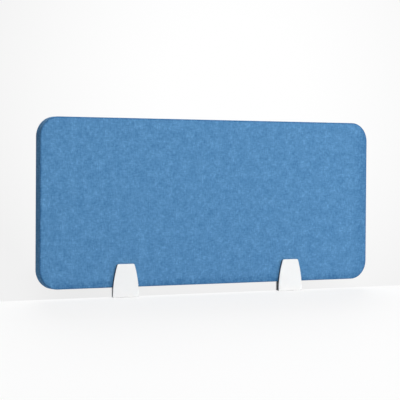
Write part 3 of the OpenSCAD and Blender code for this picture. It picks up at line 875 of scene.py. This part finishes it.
# Clamp screws
# M10 screws of zinc-plated steel with a pitch of 1.5 mm. Their upper end is turned down to a
# stub for the disc, and the knob is moulded on their lower end. The thread is a helix: the
# height over the pitch, less the share of a turn, runs along a blunt V.
screw_low, screw_high = clamp_box("clamp_screw")
crest_r = 0.005
root_r = 0.00418
pitch = 0.0015
stub_r = 0.003
stub_bevel = 0.0004
clip_groove_r = 0.0025
disc_play = 0.00005
shoulder_z = disc_low.z - disc_play
thread_columns = 48
thread_rows = 6
z = np.arange(screw_low.z, shoulder_z, pitch / thread_rows)
around = np.linspace(0, 1, thread_columns + 1)
phase = (z[:, None] / pitch - around) % 1
valley = np.clip(np.abs(2 * phase - 1) * 1.35 - 0.2, 0, 1)
ends = np.minimum(z - screw_low.z, shoulder_z - z)
valley = np.maximum(valley, np.clip(1 - ends / pitch, 0, 1)[:, None])
stations = [(0, screw_low.z)] + list(zip(crest_r - (crest_r - root_r) * valley, z))
clip_low, clip_high = clamp_box("retaining_clip")
stations += [(root_r, shoulder_z), (stub_r, shoulder_z), (stub_r, clip_low.z),
             (clip_groove_r, clip_low.z), (clip_groove_r, clip_high.z), (stub_r, clip_high.z),
             (stub_r, screw_high.z - stub_bevel), (stub_r - stub_bevel, screw_high.z),
             (0, screw_high.z)]
clamp_pieces("threaded_spindle", "clamp_screw", "_screw", "fastener_steel", zinc,
             [turned((0, screw_y, 0), stations, columns=thread_columns)])

# Knobs
# Black nylon knobs with six lobes, moulded on the screws, with a round hub above. Their radius
# swings with the cosine of six times the angle.
knob_low, knob_high = clamp_box("knob")
cap_low, cap_high = clamp_box("knob_cap")
grip_h = 0.018
grip_top = knob_low.z + grip_h
knob_r = 0.025
lobe_depth = 0.005
knob_edge_r = 0.003
knob_hub_r = 0.012
cap_r = cap_high.x
cap_well_r = cap_r + 0.00005
cap_mouth_r = cap_r + 0.0004
cap_well_bevel = 0.0003
hub_fillet = 0.0018
hub_curve = 0.0005
knob_columns = 144
turn = np.linspace(0, 2 * math.pi, knob_columns + 1)
lobed = knob_r - lobe_depth * (1 - np.cos(6 * turn)) / 2
quarter = np.linspace(0, math.pi / 2, 7)
stations = [(0, cap_high.z), (cap_well_r, cap_high.z),
            (cap_well_r, knob_low.z + cap_well_bevel), (cap_mouth_r, knob_low.z)]
stations += [(lobed - knob_edge_r * (1 - math.sin(a)), knob_low.z + knob_edge_r * (1 - math.cos(a)))
             for a in quarter]
stations += [(lobed - knob_edge_r * (1 - math.sin(a)), grip_top - knob_edge_r * (1 - math.cos(a)))
             for a in quarter[::-1]]
stations += [
    (knob_hub_r + hub_fillet, grip_top), (knob_hub_r + hub_curve, grip_top + hub_curve),
    (knob_hub_r, grip_top + hub_fillet), (knob_hub_r, knob_high.z - fillet),
    (knob_hub_r - fillet_mid, knob_high.z - fillet_mid), (knob_hub_r - fillet, knob_high.z),
    (bore_r, knob_high.z), (bore_r, screw_low.z), (0, screw_low.z)]
clamp_pieces("lobed_knob", "knob", "_screw", "knob_nylon", nylon,
             [turned((0, screw_y, 0), stations, columns=knob_columns)])

# Knob caps
# Pale grey nylon discs, pressed into the knobs' undersides, where they cover the screws' ends.
# Their middle stands out a little.
grey_nylon = Finish("pale_grey_nylon", {"Specular IOR Level": 0.4})
matt = grey_nylon.noise(0.0006, 2)
grey_nylon.feed("Base Color", grey_nylon.between(
    grey_nylon.noise(0.008), (0.68, 0.68, 0.67, 1), (0.72, 0.72, 0.71, 1)))
grey_nylon.feed("Roughness", matt * 0.15 + 0.42)
grey_nylon.relief(matt, 0.00003)
cap_step = 0.0003
cap_rim = 0.0009
stations = [(0, cap_low.z), (cap_r * 0.55, cap_low.z), (cap_r * 0.6, cap_low.z + cap_step),
            (cap_r - cap_rim, cap_low.z + cap_step),
            (cap_r - cap_rim / 3, cap_low.z + cap_step * 2), (cap_r, cap_low.z + cap_step * 4),
            (cap_r, cap_high.z), (0, cap_high.z)]
clamp_pieces("end_cap", "knob_cap", "_screw", "cap_nylon", grey_nylon,
             [turned((0, screw_y, 0), stations)])

# Desk-top, light and background
# A plain pale top whose rear edge the clamps grip, thinner than the jaws ever close. Large soft
# lamps stand at the right in front, high in front and behind, and the world fills in. The room
# that is seen behind is white, and darkens a little round its brightest place; low down behind
# the panel a painted shadow of the panel darkens it a little more.


def seen(tree):
    """1 for rays from the camera, in reflections and through glass, 0 for light."""
    path = tree.add("LightPath", {}, {}, "Is Camera Ray")
    return path.math("MAXIMUM", path.also("Is Glossy Ray").math(
        "MAXIMUM", path.also("Is Transmission Ray")))


desk_finish = Finish("pale_desk_top", {"Roughness": 0.6, "Specular IOR Level": 0.2})
desk_finish.feed("Base Color", desk_finish.between(
    desk_finish.noise(0.3), (0.75, 0.75, 0.75, 1), (0.77, 0.77, 0.77, 1)))
glow = desk_finish.add("Emission", {}, {"Color": (0.98, 0.98, 0.98, 1), "Strength": 1})
lit = Wire(desk_finish, desk_finish.shader, "BSDF")
blend = desk_finish.add("MixShader", {}, {0: seen(desk_finish) * 0.8, 1: lit, 2: glow})
output = desk_finish.tree.nodes["Material Output"]
desk_finish.tree.links.new(blend.socket, output.inputs["Surface"])
desk_t = 0.0095
desk_edge_r = 0.0008
low, high = (-4, -6), (4, 0)
rows = block_rows(oblong(low, high, 0.001), 8, -desk_t, 0, desk_edge_r)
desk = surface("desk_top", [stacked(rows, *spine_of(low, high))[..., [0, 2, 1]]], desk_finish)


def soft_lamp(name, heading, height, distance, size, power):
    """A square lamp that faces the panel's middle, heading degrees to the right of its normal."""
    data = bpy.data.lights.new(name, "AREA")
    data.size = size
    data.energy = power
    lamp = bpy.data.objects.new(name, data)
    bpy.context.scene.collection.objects.link(lamp)
    heading, height = math.radians(heading), math.radians(height)
    toward = Vector((math.sin(heading) * math.cos(height), -math.cos(heading) * math.cos(height),
                     math.sin(height)))
    lamp.location = Vector((0, 0, 0.33)) + toward * distance
    lamp.rotation_euler = toward.to_track_quat("Z", "Y").to_euler()


soft_lamp("right_lamp", 46, 25, 9, 5, 345)
soft_lamp("front_lamp", 0, 48, 9, 5, 430)
soft_lamp("rear_lamp", 150, 30, 9, 5, 430)
world = bpy.data.worlds.new("pale_room")
bpy.context.scene.world = world
world.use_nodes = True
room = Tree(world.node_tree)
brightest_toward = (0.537, 0.842, 0.049)
shaded_toward = (0.515, 0.854, -0.076)
direction = room.add("TexCoord", {}, {}, "Generated")
bright = room.add(
    "VectorMath", {"operation": "DOT_PRODUCT"}, {0: direction, 1: brightest_toward}, 1)
fading = (bright * 9.3 - 8.292).math("MAXIMUM", 0.881).math("MINIMUM", 1)
# Painted shadow of the panel on the room, low down behind it.
panel_shadow = room.add(
    "VectorMath", {"operation": "DOT_PRODUCT"}, {0: direction, 1: shaded_toward}, 1)
panel_shadow = room.add("MapRange", {"interpolation_type": "SMOOTHSTEP"}, {
    0: panel_shadow, 1: 0.9945, 2: 0.9985, 3: 0, 4: 1})
low_share = room.add("MapRange", {}, {
    0: room.add("SeparateXYZ", {}, {0: direction}, 2), 1: -0.068, 2: -0.060, 3: 1, 4: 0})
fading = fading * (1 - panel_shadow * low_share * 0.08)
visible = room.add("Background", {}, {"Color": (1, 1, 1, 1), "Strength": fading})
unseen = room.add("Background", {}, {"Color": (1, 1, 1, 1), "Strength": 0.25})
mixed = room.add("MixShader", {}, {0: seen(room), 1: unseen, 2: visible})
room.tree.links.new(mixed.socket, room.tree.nodes["World Output"].inputs["Surface"])

bpy.context.scene.view_settings.view_transform = "Standard"
